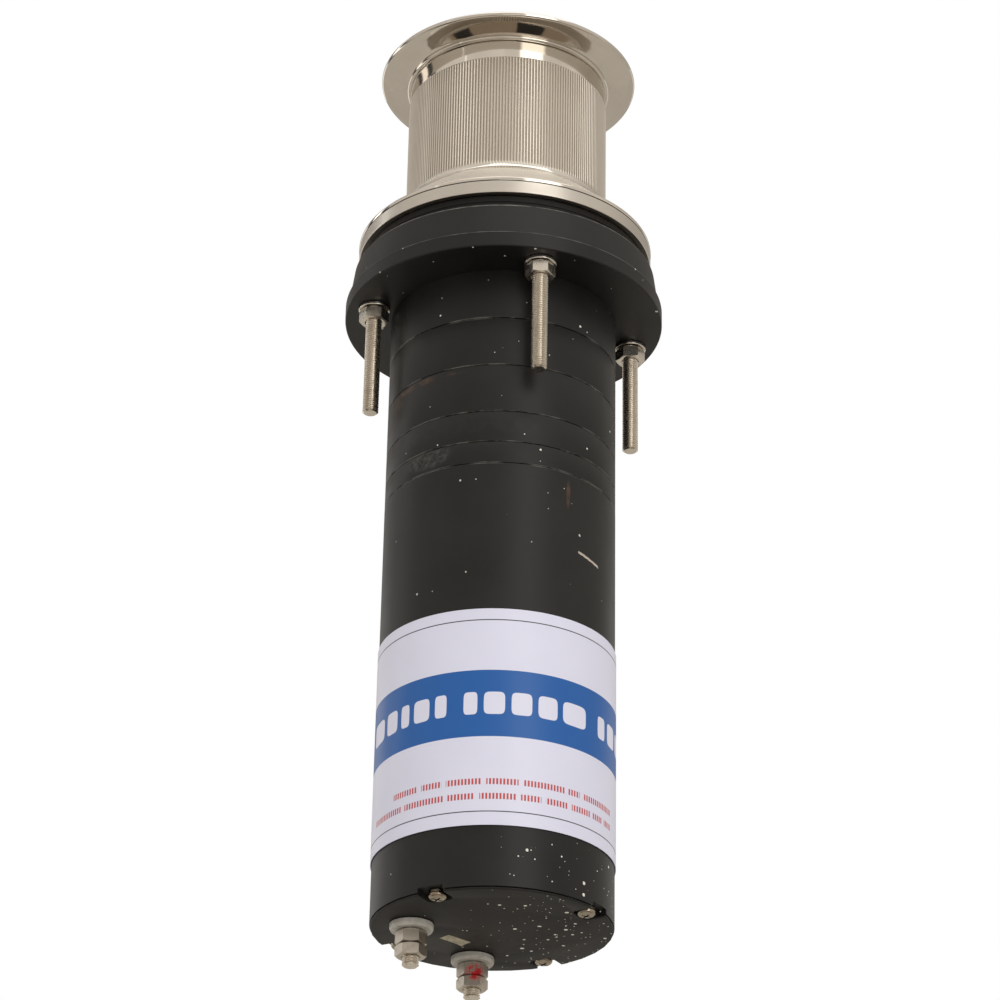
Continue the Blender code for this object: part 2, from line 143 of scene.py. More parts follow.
def eased(outline):
    """An outline of (radius, height, corner radius) with its corners rounded."""
    points = []
    count = len(outline)
    for index, (r, z, bend) in enumerate(outline):
        before = outline[index - 1][:2]
        after = outline[(index + 1) % count][:2]
        points += corner(before, (r, z), after, bend)
    return points


def arc(centre, radius, start, end, parts):
    """Points of an arc in the outline plane; angles in degrees."""
    points = []
    for step in range(parts + 1):
        angle = math.radians(start + (end - start) * step / parts)
        points.append((centre[0] + radius * math.cos(angle), centre[1] + radius * math.sin(angle)))
    return points


def turn_outline(points, angles, centre=(0.0, 0.0)):
    """A closed outline in millimetres spun about a vertical axis through the given angles, as a bmesh."""
    work = bmesh.new()
    rings = []
    for r, z in points:
        if r < 1e-6:
            pole = work.verts.new((centre[0] * MM, centre[1] * MM, z * MM))
            rings.append([pole] * len(angles))
            continue
        ring = []
        for angle in angles:
            x = centre[0] + r * math.cos(angle)
            y = centre[1] + r * math.sin(angle)
            ring.append(work.verts.new((x * MM, y * MM, z * MM)))
        rings.append(ring)
    steps = len(angles)
    for index, ring in enumerate(rings):
        other = rings[(index + 1) % len(rings)]
        if ring[0] is ring[-1] and other[0] is other[-1]:
            continue
        for step in range(steps):
            nxt = (step + 1) % steps
            loop = [ring[step], ring[nxt], other[nxt], other[step]]
            loop = list(dict.fromkeys(loop))
            work.faces.new(loop)
    bmesh.ops.recalc_face_normals(work, faces=work.faces)
    return work


def even_angles(steps):
    """Angles that divide a turn evenly."""
    return [2 * math.pi * step / steps for step in range(steps)]


def skin(work, rings, closed=True):
    """Faces between neighbouring rings of points, or between open rows of them."""
    made = []
    for low, high in zip(rings, rings[1:]):
        for step in range(len(low) if closed else len(low) - 1):
            after = (step + 1) % len(low)
            made.append(work.faces.new([low[step], low[after], high[after], high[step]]))
    return made


def piece_from(work, name):
    """A shaded piece from a bmesh."""
    mesh = bpy.data.meshes.new(name)
    work.to_mesh(mesh)
    work.free()
    return smooth(new_piece(name, mesh))


def shell_from(work, name, outside, inside):
    """A thin closed piece from two like grids of points."""
    rows, last = len(outside) - 1, len(outside[0]) - 1
    skin(work, outside, closed=False)
    skin(work, inside, closed=False)
    border = [(row, 0) for row in range(rows)] + [(rows, place) for place in range(last)]
    border += [(row, last) for row in range(rows, 0, -1)] + [(0, place) for place in range(last, 0, -1)]
    for (a, b), (c, d) in zip(border, border[1:] + border[:1]):
        work.faces.new([outside[a][b], outside[c][d], inside[c][d], inside[a][b]])
    bmesh.ops.recalc_face_normals(work, faces=work.faces)
    return piece_from(work, name)


def turned(name, points, steps=ROUND_STEPS, centre=(0.0, 0.0)):
    """A turned piece from a closed outline of plain points."""
    return piece_from(turn_outline(points, even_angles(steps), centre), name)


def rounded_copy(name, node, width, outside=0.0):
    """A welded copy of a CAD node whose outer edges get a small round."""
    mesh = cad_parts[node].data.copy()
    mesh.name = name
    work = bmesh.new()
    work.from_mesh(mesh)
    bmesh.ops.remove_doubles(work, verts=work.verts, dist=0.002 * MM)
    bmesh.ops.dissolve_limit(work, angle_limit=math.radians(0.5), verts=work.verts, edges=work.edges)
    bmesh.ops.recalc_face_normals(work, faces=work.faces)
    weight = work.edges.layers.float.new("bevel_weight_edge")
    for edge in work.edges:
        if len(edge.link_faces) != 2 or edge.calc_face_angle() < math.radians(25):
            continue
        if all(vert.co.xy.length > outside * MM for vert in edge.verts):
            edge[weight] = 1.0
    work.to_mesh(mesh)
    work.free()
    piece = new_piece(name, mesh)
    bevel = piece.modifiers.new("edge_round", "BEVEL")
    bevel.width = width * MM
    bevel.segments = 2
    bevel.limit_method = "WEIGHT"
    settle(piece)
    if "custom_normal" in piece.data.attributes:
        piece.data.attributes.remove(piece.data.attributes["custom_normal"])
    return smooth(piece)


# ---------------- node recipes


class Recipe:
    """A node tree that is written line by line, for a material, the surroundings or a geometry tree."""

    place = None  # where a pattern is read, unless its call says otherwise

    def __init__(self, tree):
        self.tree = tree

    def node(self, kind, inputs=None, **settings):
        made = self.tree.nodes.new(kind)
        for key, value in settings.items():
            setattr(made, key, value)
        for key, value in (inputs or {}).items():
            self.feed(made.inputs[key], value)
        return made

    def feed(self, socket, value):
        if isinstance(value, bpy.types.NodeSocket):
            self.tree.links.new(value, socket)
        else:
            socket.default_value = value

    def math(self, operation, first, second=0.0, clamp=False):
        made = self.node("ShaderNodeMath", {0: first, 1: second}, operation=operation)
        made.use_clamp = clamp
        return made.outputs[0]

    def add(self, first, second, clamp=False):
        return self.math("ADD", first, second, clamp)

    def less(self, first, second, clamp=False):
        return self.math("SUBTRACT", first, second, clamp)

    def both(self, first, second):
        return self.math("MULTIPLY", first, second)

    def over(self, first, second):
        return self.math("DIVIDE", first, second)

    def more(self, base, extra, share):
        """The base and a share of something extra."""
        return self.add(base, self.both(extra, share))

    def length(self, *parts):
        """The distance whose parts along the axes are given."""
        total = self.both(parts[0], parts[0])
        for part in parts[1:]:
            total = self.add(total, self.both(part, part))
        return self.math("SQRT", total)

    def vector(self, x, y, z):
        return self.node("ShaderNodeCombineXYZ", {0: x, 1: y, 2: z}).outputs[0]

    def split(self, vector):
        return self.node("ShaderNodeSeparateXYZ", {0: vector}).outputs

    def span(self, value, low, high, to_low=0.0, to_high=1.0, smooth_ends=False):
        kind = "SMOOTHSTEP" if smooth_ends else "LINEAR"
        inputs = {"Value": value, "From Min": low, "From Max": high, "To Min": to_low, "To Max": to_high}
        return self.node("ShaderNodeMapRange", inputs, interpolation_type=kind).outputs[0]

    def window(self, value, low, high, soft):
        """1 between low and high, falling to 0 over soft on either side."""
        rise = self.span(value, low - soft, low, smooth_ends=True)
        fall = self.span(value, high, high + soft, 1.0, 0.0, smooth_ends=True)
        return self.both(rise, fall)

    def noise(self, scale, detail=2.0, where=None, roughness=0.5):
        inputs = {"Vector": where or self.place, "Scale": scale, "Detail": detail, "Roughness": roughness}
        return self.node("ShaderNodeTexNoise", inputs).outputs[0]

    def patches(self, scale, detail, low, high, roughness=0.7, where=None):
        """Noise that is 0 up to low and 1 from high on."""
        return self.span(self.noise(scale, detail, where, roughness), low, high)

    def cells(self, scale, output="Distance"):
        return self.node("ShaderNodeTexVoronoi", {"Vector": self.place, "Scale": scale}).outputs[output]

    def colours(self, factor, first, second):
        made = self.node("ShaderNodeMix", {0: factor}, data_type="RGBA")
        self.feed(made.inputs[6], first)
        self.feed(made.inputs[7], second)
        return made.outputs[2]

    def ramp(self, value, stops):
        made = self.node("ShaderNodeValToRGB", {0: value})
        line = made.color_ramp
        while len(line.elements) < len(stops):
            line.elements.new(0.5)
        for element, (position, colour) in zip(line.elements, stops):
            element.position = position
            element.color = colour
        return made.outputs[0]

    def bump(self, height, strength, distance, under=None):
        inputs = {"Height": height, "Strength": strength, "Distance": distance}
        if under is not None:
            inputs["Normal"] = under
        return self.node("ShaderNodeBump", inputs).outputs[0]


class Finish(Recipe):
    """A material with its cylinder coordinates ready: distance from the axis, angle and height."""

    def __init__(self, name, **shader):
        self.material = bpy.data.materials.new(name)
        self.material.use_nodes = True
        super().__init__(self.material.node_tree)
        self.shader = self.tree.nodes["Principled BSDF"]
        for key, value in shader.items():
            self.shader.inputs[key.replace("_", " ")].default_value = value
        self.place = self.node("ShaderNodeTexCoord").outputs["Object"]
        self.x, self.y, self.z = self.split(self.place)
        self.radius = self.length(self.x, self.y)
        self.angle = self.math("ARCTAN2", self.x, self.both(self.y, -1.0))

    def set(self, socket, value):
        self.feed(self.shader.inputs[socket], value)

    def cover(self, colour, rough, normal):
        """Feeds the shader, and gives the material."""
        self.set("Base Color", colour)
        self.set("Roughness", rough)
        self.set("Normal", normal)
        return self.material


def paint(r, g, b):
    """A linear colour from a matched sRGB one in 0..255."""
    return tuple(((c / 255 + 0.055) / 1.055) ** 2.4 if c > 10 else c / 3294.6 for c in (r, g, b)) + (1.0,)


# ---------------- finishes


def lathe_rings(steel, scale):
    """Fine rings round the axis, as a lathe leaves them."""
    lines = steel.vector(steel.radius, steel.z, steel.both(steel.angle, 0.0006))
    return steel.noise(scale, 3.0, lines, 0.7)


def turned_steel(name, tone, gloss, marks=0.35, grime=0.25):
    """Stainless steel from a lathe: fine rings, faint smudges and a warm tint."""
    steel = Finish(name, Metallic=1.0)
    rings = lathe_rings(steel, 2600.0)
    hair = steel.noise(420.0, 2.0, steel.vector(steel.x, steel.y, steel.both(steel.z, 6.0)))
    dull = steel.patches(38.0, 4.0, 0.42, 0.72, 0.62)
    dark = tuple(c * 0.74 for c in tone[:3]) + (1.0,)
    rough = steel.more(steel.more(gloss, dull, 0.08), rings, 0.04)
    normal = steel.bump(rings, marks, 0.000012, steel.bump(hair, 0.08, 0.00002))
    return steel.cover(steel.colours(steel.both(dull, grime), tone, dark), rough, normal)


def fluted_steel(name, tone):
    """The drum's steel: grooves darkened to a dull brown as painted shade, against bright ridge tops; the
    foot's cone pale.
    """
    steel = Finish(name, Metallic=1.0)
    depth = steel.span(steel.radius, (RIDGE_R - 0.3) * MM, (RIDGE_R - 0.03) * MM)
    inside = steel.window(steel.z, 58.5 * MM, 121.6 * MM, 1.2 * MM)
    groove = steel.both(steel.less(1.0, depth), inside)
    blotch = steel.patches(30.0, 5.0, 0.45, 0.75, 0.65)
    cone = steel.window(steel.z, 35.2 * MM, 53.0 * MM, 0.6 * MM)
    bright = steel.colours(steel.both(blotch, 0.25), tone, paint(190, 181, 169))
    bright = steel.colours(cone, bright, paint(236, 231, 222))
    # painted shade: the groove bottoms are darkened to brown, standing in for the shade inside the flutes
    colour = steel.colours(steel.both(groove, 0.85), bright, paint(132, 119, 103))
    rough = steel.more(steel.add(steel.both(inside, 0.24), steel.both(groove, 0.12)), cone, 0.3)
    rough = steel.more(steel.add(rough, 0.07), blotch, 0.06)
    return steel.cover(colour, rough, steel.bump(lathe_rings(steel, 2400.0), 0.16, 0.00001))


def plain_steel(name, tone, gloss, stain=0.4):
    """Bright fastener steel with a light film of rust in places."""
    steel = Finish(name, Metallic=1.0)
    film = steel.patches(160.0, 5.0, 0.5, 0.75)
    colour = steel.colours(steel.both(film, stain), tone, paint(128, 98, 72))
    steel.cover(colour, steel.more(gloss, film, 0.25), steel.bump(steel.noise(900.0, 3.0), 0.25, 0.00004))
    return steel


class BlackPaint(Finish):
    """Satin black paint on machined metal, with the wear and painted edge highlights that each piece adds."""

    def __init__(self, name, gloss=0.4, grain=0.2):
        super().__init__(name, Metallic=0.0, IOR=1.37)
        cloud = self.noise(22.0, 5.0, roughness=0.6)
        self.tone = self.colours(self.span(cloud, 0.35, 0.7), paint(17, 17, 17), paint(26, 26, 25))
        self.rough = self.more(gloss, self.span(cloud, 0.3, 0.7), 0.1)
        self.peel = self.noise(720.0, 2.0)
        self.pits = self.bump(self.peel, grain, 0.00006)

    def mark(self, where, tone, strength=None):
        """Lays a colour over the paint."""
        where = where if strength is None else self.both(where, strength)
        self.tone = self.colours(where, self.tone, paint(*tone))

    def seam_scuffs_and_highlights(self, *joints):
        """Bright patchy arcs along the joints at the given heights, in millimetres: scuffed paint with a
        painted highlight on the joint edges.
        """
        path = self.vector(self.both(self.angle, CASE_R * MM), 0.0, self.z)
        patchy = self.patches(34.0, 4.0, 0.46, 0.56, where=path)
        for height in joints:
            near = self.window(self.z, (height - 0.12) * MM, (height + 0.12) * MM, 0.25 * MM)
            # painted highlight and scuffs: a pale patchy line laid along each joint
            self.mark(self.both(near, patchy), (128, 125, 120), 0.45)

    def flecks(self, size, density, mask=None, tone=(214, 212, 206), scale=260.0):
        """Small chips and drops of white, as a share of the grid cells that carry one."""
        spread = self.more(self.cells(scale), self.noise(900.0, 2.0), 0.12)
        chance, size_share = self.split(self.cells(scale, "Color"))[:2]
        share = density if mask is None else self.both(mask, density)
        chosen = self.math("GREATER_THAN", chance, self.less(1.0, share))
        dot = self.math("LESS_THAN", spread, self.add(self.both(size_share, size), 0.07))
        self.mark(self.both(dot, chosen), tone)

    def stain(self, angle, height, wide, tall, tone, strength, grain=60.0):
        """A broken patch of colour centred on an angle in degrees and a height in millimetres."""
        across = self.over(self.both(self.less(self.angle, math.radians(angle)), CASE_R * MM), wide * MM)
        along = self.over(self.less(self.z, height * MM), tall * MM)
        away = self.add(self.both(across, across), self.both(along, along))
        near = self.span(away, 0.2, 1.0, 1.0, 0.0, smooth_ends=True)
        patch = self.both(self.both(near, self.patches(grain, 5.0, 0.42, 0.62)), strength)
        self.mark(patch, tone)
        return patch

    def done(self, lift=None):
        """The material, with its paint raised where lift says so."""
        normal = self.pits if lift is None else self.bump(lift, 0.6, 0.0005, self.pits)
        return self.cover(self.tone, self.rough, normal)


def disc_paint():
    """The deck disc: a pale line round its top edge and its foot, worn paint with a painted highlight on the
    rounded edges.
    """
    black = BlackPaint("deck_disc_paint", 0.42)
    patch = black.patches(60.0, 4.0, 0.38, 0.6)
    rim = black.window(black.z, 16.65 * MM, 17.3 * MM, 0.3 * MM)
    foot = black.window(black.z, -0.1 * MM, 0.5 * MM, 0.25 * MM)
    # pale patchy lines on the top edge and the foot: worn paint with a painted edge highlight in it
    black.mark(black.both(rim, patch), (140, 137, 132), 0.55)
    black.mark(black.both(foot, patch), (120, 117, 112), 0.4)
    black.flecks(0.1, 0.012)
    return black.done()


def flange_paint():
    """The gearbox flange and neck."""
    black = BlackPaint("flange_paint", 0.4)
    # pale joint lines: scuffs with painted highlight
    black.seam_scuffs_and_highlights(-0.6, -35.3)
    black.flecks(0.2, 0.16)
    return black.done()


def casing_paint():
    """The ring gears, the adapter and the front bell: pale joints (scuffs with painted highlight), rust and
    one blistered patch.
    """
    black = BlackPaint("casing_paint", 0.4)
    # pale joint lines: scuffs with painted highlight
    black.seam_scuffs_and_highlights(-35.9, -61.6, -87.3, -103.8, -115.4)
    black.stain(-46, -64.6, 30, 1.8, (88, 60, 47), 0.75, 90.0)
    black.stain(-64, -69.5, 6, 5.0, (84, 60, 48), 0.6, 120.0)
    scuffs = black.stain(-20, -94.0, 60, 6.0, (52, 50, 48), 0.14, 200.0)
    blister = black.stain(-38, -108.6, 15, 6.4, (72, 70, 67), 0.75, 420.0)
    black.flecks(0.14, 0.11)
    return black.done(black.more(blister, scuffs, 0.1))


def tube_paint():
    """The motor's long tube: white flecks towards the lower right, a rust run and a scratch higher up."""
    black = BlackPaint("tube_paint", 0.38)
    # pale joint line: scuffs with painted highlight
    black.seam_scuffs_and_highlights(-115.95)
    turned_away = black.window(black.angle, math.radians(28), math.radians(140), 0.5)
    low = black.span(black.z, -285 * MM, -328 * MM, smooth_ends=True)
    dense = black.both(turned_away, black.both(low, 0.34))
    black.stain(35, -127.0, 1.4, 9.0, (92, 64, 48), 0.65, 90.0)
    black.flecks(0.17, 0.09, tone=(190, 188, 182))
    black.flecks(0.24, 1.0, dense)
    black.flecks(0.2, 1.0, dense, scale=520.0)
    across = black.both(black.less(black.angle, math.radians(49)), CASE_R)
    along = black.more(black.add(black.over(black.z, MM), 157.2), across, 0.17)
    line = black.window(black.more(along, black.peel, 0.8), 0.1, 1.1, 0.25)
    black.mark(black.both(line, black.window(across, -7.0, 7.0, 0.8)), (196, 186, 174), 0.8)
    return black.done()


def bell_paint():
    """The end bell: dusty, and flecked with white towards the right."""
    black = BlackPaint("end_bell_paint", 0.55, 0.35)
    black.mark(black.patches(16.0, 5.0, 0.35, 0.75, 0.6), (46, 42, 38), 0.5)
    side = black.span(black.x, -20 * MM, 28 * MM, smooth_ends=True)
    dense = black.add(black.both(side, 0.3), 0.03)
    black.flecks(0.27, 1.0, dense)
    black.flecks(0.22, 1.0, dense, scale=520.0)
    return black.done()


def rubber():
    """Black gasket rubber with a dusty bloom."""
    black = Finish("gasket_rubber", Metallic=0.0, IOR=1.35)
    bloom = black.patches(70.0, 5.0, 0.45, 0.75)
    colour = black.colours(black.both(bloom, 0.4), paint(12, 10, 9), paint(30, 26, 23))
    normal = black.bump(black.noise(1100.0, 3.0), 0.3, 0.00005)
    return black.cover(colour, black.more(0.5, bloom, 0.2), normal)


def nylon():
    """Milky nylon of the terminal insulators, greyed by dust."""
    milk = Finish("insulator_nylon", Metallic=0.0, IOR=1.5, Subsurface_Weight=0.35, Subsurface_Scale=1.0,
                  Subsurface_Radius=(0.004, 0.0035, 0.003))
    dust = milk.patches(190.0, 5.0, 0.4, 0.7)
    colour = milk.colours(milk.both(dust, 0.55), paint(176, 174, 168), paint(120, 113, 101))
    return milk.cover(colour, milk.more(0.36, dust, 0.25), milk.bump(milk.noise(700.0, 3.0), 0.2, 0.00005))


def terminal_steel():
    """Terminal nuts: dull, dusty, with a smear of red marking paint on one of them."""
    steel = plain_steel("terminal_steel", paint(190, 182, 170), 0.36, 0.6)
    spot = middle("terminal_stud_2") + Vector((1.2, -6.2, 0.0))
    places = ((steel.x, spot.x), (steel.y, spot.y), (steel.z, -341.2))
    aside = [steel.less(part, place * MM) for part, place in places]
    near = steel.span(steel.length(*aside), 5.4 * MM, 3.0 * MM)
    smear = steel.both(near, steel.patches(330.0, 4.0, 0.42, 0.5))
    bare = steel.shader.inputs["Base Color"].links[0].from_socket
    steel.set("Base Color", steel.colours(smear, bare, paint(168, 24, 30)))
    steel.set("Metallic", steel.less(1.0, smear))
    return steel.material


LABEL_BLOCKS = (
    (-79.0, (14.0, 9.0, 5.5, 9.0, 6.0)),
    (-15.2, (6.5, 9.8, 9.8, 9.8, 14.0)),
    (56.0, (6.5, 9.8, 12.0)),
)  # each group's first angle and the widths of its blocks, in degrees
LABEL_DASHES = (
    (-280.2, (-54, -36, -23, -4, 13, 36, 45, 72)),
    (-287.4, (-72, -46, -22, -7, 12, 24, 38, 52, 62, 72)),
)  # each row's height in millimetres and the angles where its dashes start, in degrees


def label_print():
    """Printed film: white ground, a blue band, thin black rules and plain dashes where lines of print go."""
    film = Finish("label_print", Metallic=0.0, IOR=1.48)
    z = film.over(film.z, MM)
    along = film.both(film.angle, 180 / math.pi)
    ground = film.colours(film.noise(40.0, 3.0), paint(208, 210, 230), paint(215, 217, 236))
    colour = film.colours(film.window(z, -257.9, -224.7, 0.12), ground, paint(12, 86, 160))
    for height in (-199.0, -294.8):
        colour = film.colours(film.window(z, height - 0.2, height + 0.2, 0.12), colour, paint(50, 50, 56))
    for first, widths in LABEL_BLOCKS:
        colour = film.colours(block_row(film, along, z, first, widths), colour, paint(213, 215, 234))
    for height, starts in LABEL_DASHES:
        row = film.window(z, height - 1.35, height + 1.35, 0.25)
        tick = film.math("GREATER_THAN", film.math("FRACT", film.both(along, 0.62)), 0.42)
        inked = film.both(film.both(film.both(dash_row(film, along, starts), row), tick), 0.95)
        colour = film.colours(inked, colour, paint(180, 52, 48))
    rough = film.more(0.34, film.noise(60.0, 3.0), 0.1)
    return film.cover(colour, rough, film.bump(film.noise(28.0, 2.0), 0.06, 0.0006))


def block_row(film, along, z, first, widths, gap=3.0):
    """Rounded plain blocks in a row; angles and widths in degrees."""
    middle_height, half_height = -241.3, 5.6
    up = film.math("POWER", film.math("ABSOLUTE", film.over(film.less(z, middle_height), half_height)), 5.0)
    total = 0.0
    for width in widths:
        half = width / 2
        side = film.math("ABSOLUTE", film.over(film.less(along, first + half), half))
        round_box = film.add(film.math("POWER", side, 5.0), up)
        total = film.add(total, film.span(round_box, 1.08, 0.92), clamp=True)
        first += width + gap
    return total


def dash_row(film, along, starts):
    """Dashes that run from each start to a little before the next; the last start only ends the row."""
    total = 0.0
    for start, end in zip(starts, starts[1:]):
        total = film.add(total, film.window(along, start + 0.3, end - 2.2, 0.3), clamp=True)
    return total


def sticker_paper():
    """Yellowed paper of a small blank inspection sticker."""
    paper = Finish("sticker_paper", Metallic=0.0)
    age = paper.patches(420.0, 4.0, 0.35, 0.7)
    colour = paper.colours(age, paint(176, 168, 148), paint(134, 126, 108))
    return paper.cover(colour, paper.more(0.6, age, 0.2), paper.bump(age, 0.3, 0.00005))


def inner_finish(name, first, second, metallic, rough, scale):
    """A grained finish for the parts inside the casing."""
    made = Finish(name, Metallic=metallic)
    grain = made.noise(scale, 4.0, roughness=0.6)
    colour = made.colours(made.span(grain, 0.35, 0.7), paint(*first), paint(*second))
    normal = made.bump(made.noise(scale * 6, 3.0), 0.25, 0.00004)
    return made.cover(colour, made.more(rough, grain, 0.15), normal)


INNER_FINISHES = {
    "polished_steel": ("bright_steel", (190, 184, 174), (166, 159, 148), 1.0, 0.18, 120.0),
    "plain_steel": ("mill_steel", (168, 163, 154), (138, 131, 121), 1.0, 0.32, 140.0),
    "gear_steel": ("oiled_gear_steel", (138, 132, 122), (98, 90, 78), 1.0, 0.28, 110.0),
    "black_paint": ("inner_black_paint", (30, 29, 28), (40, 39, 37), 0.0, 0.42, 60.0),
    "black_plastic": ("brush_holder_plastic", (28, 26, 24), (40, 36, 32), 0.0, 0.45, 200.0),
    "black_rubber": ("seal_rubber", (22, 20, 19), (34, 31, 29), 0.0, 0.6, 220.0),
    "white_nylon": ("inner_nylon", (196, 192, 184), (170, 164, 152), 0.0, 0.4, 150.0),
    "label_film": ("label_backing", (220, 220, 226), (206, 206, 214), 0.0, 0.4, 90.0),
    "bronze": ("bearing_bronze", (176, 132, 78), (140, 98, 54), 1.0, 0.3, 130.0),
    "copper": ("commutator_copper", (196, 118, 80), (150, 82, 52), 1.0, 0.25, 160.0),
    "core_iron": ("varnished_core_iron", (92, 86, 80), (66, 58, 52), 1.0, 0.5, 300.0),
    "ferrite": ("field_ferrite", (58, 56, 56), (42, 41, 42), 0.0, 0.62, 240.0),
    "carbon": ("brush_carbon", (34, 33, 34), (24, 23, 24), 0.0, 0.55, 260.0),
}  # for the CAD nodes that stay: name, two tones, metal, roughness and grain, by the record's slot


# ---------------- geometry trees


def geometry_tree(name, numbers):
    """A geometry tree with a Geometry input, the named numbers and a Finish; gives its recipe and inputs."""
    tree = bpy.data.node_groups.new(name, "GeometryNodeTree")
    tree.interface.new_socket("Geometry", in_out="OUTPUT", socket_type="NodeSocketGeometry")
    tree.interface.new_socket("Geometry", in_out="INPUT", socket_type="NodeSocketGeometry")
    for key, value in numbers.items():
        kind = "NodeSocketInt" if isinstance(value, int) else "NodeSocketFloat"
        tree.interface.new_socket(key, in_out="INPUT", socket_type=kind).default_value = value
    tree.interface.new_socket("Finish", in_out="INPUT", socket_type="NodeSocketMaterial")
    recipe = Recipe(tree)
    return recipe, recipe.node("NodeGroupInput").outputs


def close_tree(recipe, source, geometry):
    """Ends a geometry tree: instances made real, then the finish."""
    real = recipe.node("GeometryNodeRealizeInstances", {"Geometry": geometry}).outputs[0]
    dressed = recipe.node("GeometryNodeSetMaterial", {"Geometry": real, "Material": source["Finish"]})
    recipe.node("NodeGroupOutput", {0: dressed.outputs[0]})
    return recipe.tree


def sink(recipe, source, place, cut):
    """Ends a tree that moves points towards the axis, by the tree's depth where the cut is 1."""
    x, y, z, radius = place
    depth = recipe.both(cut, recipe.both(source["Depth"], MM))
    scale = recipe.less(1.0, recipe.over(depth, recipe.math("MAXIMUM", radius, MM)))
    spot = recipe.vector(recipe.both(x, scale), recipe.both(y, scale), z)
    moved = recipe.node("GeometryNodeSetPosition", {"Geometry": source["Geometry"], "Position": spot})
    return close_tree(recipe, source, moved.outputs[0])


def run_tree(piece, tree, finish, **numbers):
    """Runs a geometry tree on a piece with its inputs set, and keeps the plain mesh."""
    modifier = piece.modifiers.new(tree.name, "NODES")
    modifier.node_group = tree
    wanted = {key.replace("_", " "): value for key, value in numbers.items()}
    wanted["Finish"] = finish
    for item in tree.interface.items_tree:
        if item.in_out == "INPUT" and item.name in wanted:
            modifier[item.identifier] = wanted[item.name]
    return smooth(settle(piece))


def polar(recipe):
    """The position in a tree, as x, y, z and the distance from the axis, and its angle."""
    x, y, z = recipe.split(recipe.node("GeometryNodeInputPosition").outputs[0])
    return (x, y, z, recipe.length(x, y)), recipe.math("ARCTAN2", y, x)


def flute_tree():
    """Cuts straight upright grooves into a drum: round-bottomed, with a narrow land between two of them."""
    sizes = {"Flutes": FLUTES, "Depth": 0.45, "Land Share": LAND}
    sizes.update({"Low End": 58.0, "High End": 122.0, "Run Out": 1.2})
    recipe, source = geometry_tree("upright_flutes", sizes)
    place, angle = polar(recipe)
    z, radius = place[2:]
    share = recipe.math("FRACT", recipe.over(recipe.both(angle, source["Flutes"]), 2 * math.pi))
    half = recipe.over(recipe.less(1.0, source["Land Share"]), 2.0)
    off = recipe.over(recipe.less(share, recipe.less(1.0, half)), half)
    bowl = recipe.less(1.0, recipe.both(off, off), clamp=True)
    low, high, run = (recipe.both(source[key], MM) for key in ("Low End", "High End", "Run Out"))
    rise = recipe.span(z, low, recipe.add(low, run), smooth_ends=True)
    fall = recipe.math("LESS_THAN", z, recipe.add(high, 0.02 * MM))
    outer = recipe.math("GREATER_THAN", radius, 50.5 * MM)
    return sink(recipe, source, place, recipe.both(recipe.both(bowl, recipe.both(rise, fall)), outer))


def thread_tree():
    """Cuts a right-handed screw thread between two heights of a rod that stands on the axis."""
    sizes = {"Pitch": 1.25, "Depth": 0.68, "Low End": 0.0, "High End": 1.0}
    recipe, source = geometry_tree("screw_thread", sizes)
    place, angle = polar(recipe)
    z = place[2]
    rise = recipe.over(z, recipe.both(source["Pitch"], MM))
    wind = recipe.math("FRACT", recipe.less(rise, recipe.over(angle, 2 * math.pi)))
    wave = recipe.math("ABSOLUTE", recipe.less(recipe.both(wind, 2.0), 1.0))
    low, high = (recipe.both(source[key], MM) for key in ("Low End", "High End"))
    inside = recipe.both(recipe.math("GREATER_THAN", z, low), recipe.math("LESS_THAN", z, high))
    return sink(recipe, source, place, recipe.both(recipe.span(wave, 0.12, 0.88), inside))


def ring_tree():
    """Sets copies of a fastener round a circle: first angle and step in degrees, radius in millimetres."""
    sizes = {"Count": 4, "Ring Radius": 50.0, "First Angle": 0.0, "Angle Step": 90.0}
    recipe, source = geometry_tree("fasteners_on_a_ring", sizes)
    index = recipe.node("GeometryNodeInputIndex").outputs[0]
    angle = recipe.math("RADIANS", recipe.more(source["First Angle"], index, source["Angle Step"]))
    ring = recipe.both(source["Ring Radius"], MM)
    x, y = (recipe.both(ring, recipe.math(side, angle)) for side in ("COSINE", "SINE"))
    spots = {"Count": source["Count"], "Position": recipe.vector(x, y, 0.0)}
    points = recipe.node("GeometryNodePoints", spots).outputs[0]
    placed = recipe.node("GeometryNodeInstanceOnPoints", {"Points": points, "Instance": source["Geometry"]})
    return close_tree(recipe, source, placed.outputs[0])


# ---------------- drum


def flute_angles(count, land):
    """Column angles of the fluted drum: six to a flute, closest where the groove starts and ends."""
    half = (1 - land) / 2
    offsets = (0.0, land, land + 0.22 * half, land + half * 0.62, 1 - half * 0.62, 1 - 0.22 * half)
    return [2 * math.pi * (flute + offset) / count for flute in range(count) for offset in offsets]


def keep_on(body, piece, slot_name, *nodes):
    """The piece rides on a body and stands for CAD nodes."""
    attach(piece, body)
    if nodes:
        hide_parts(*nodes)
    return piece


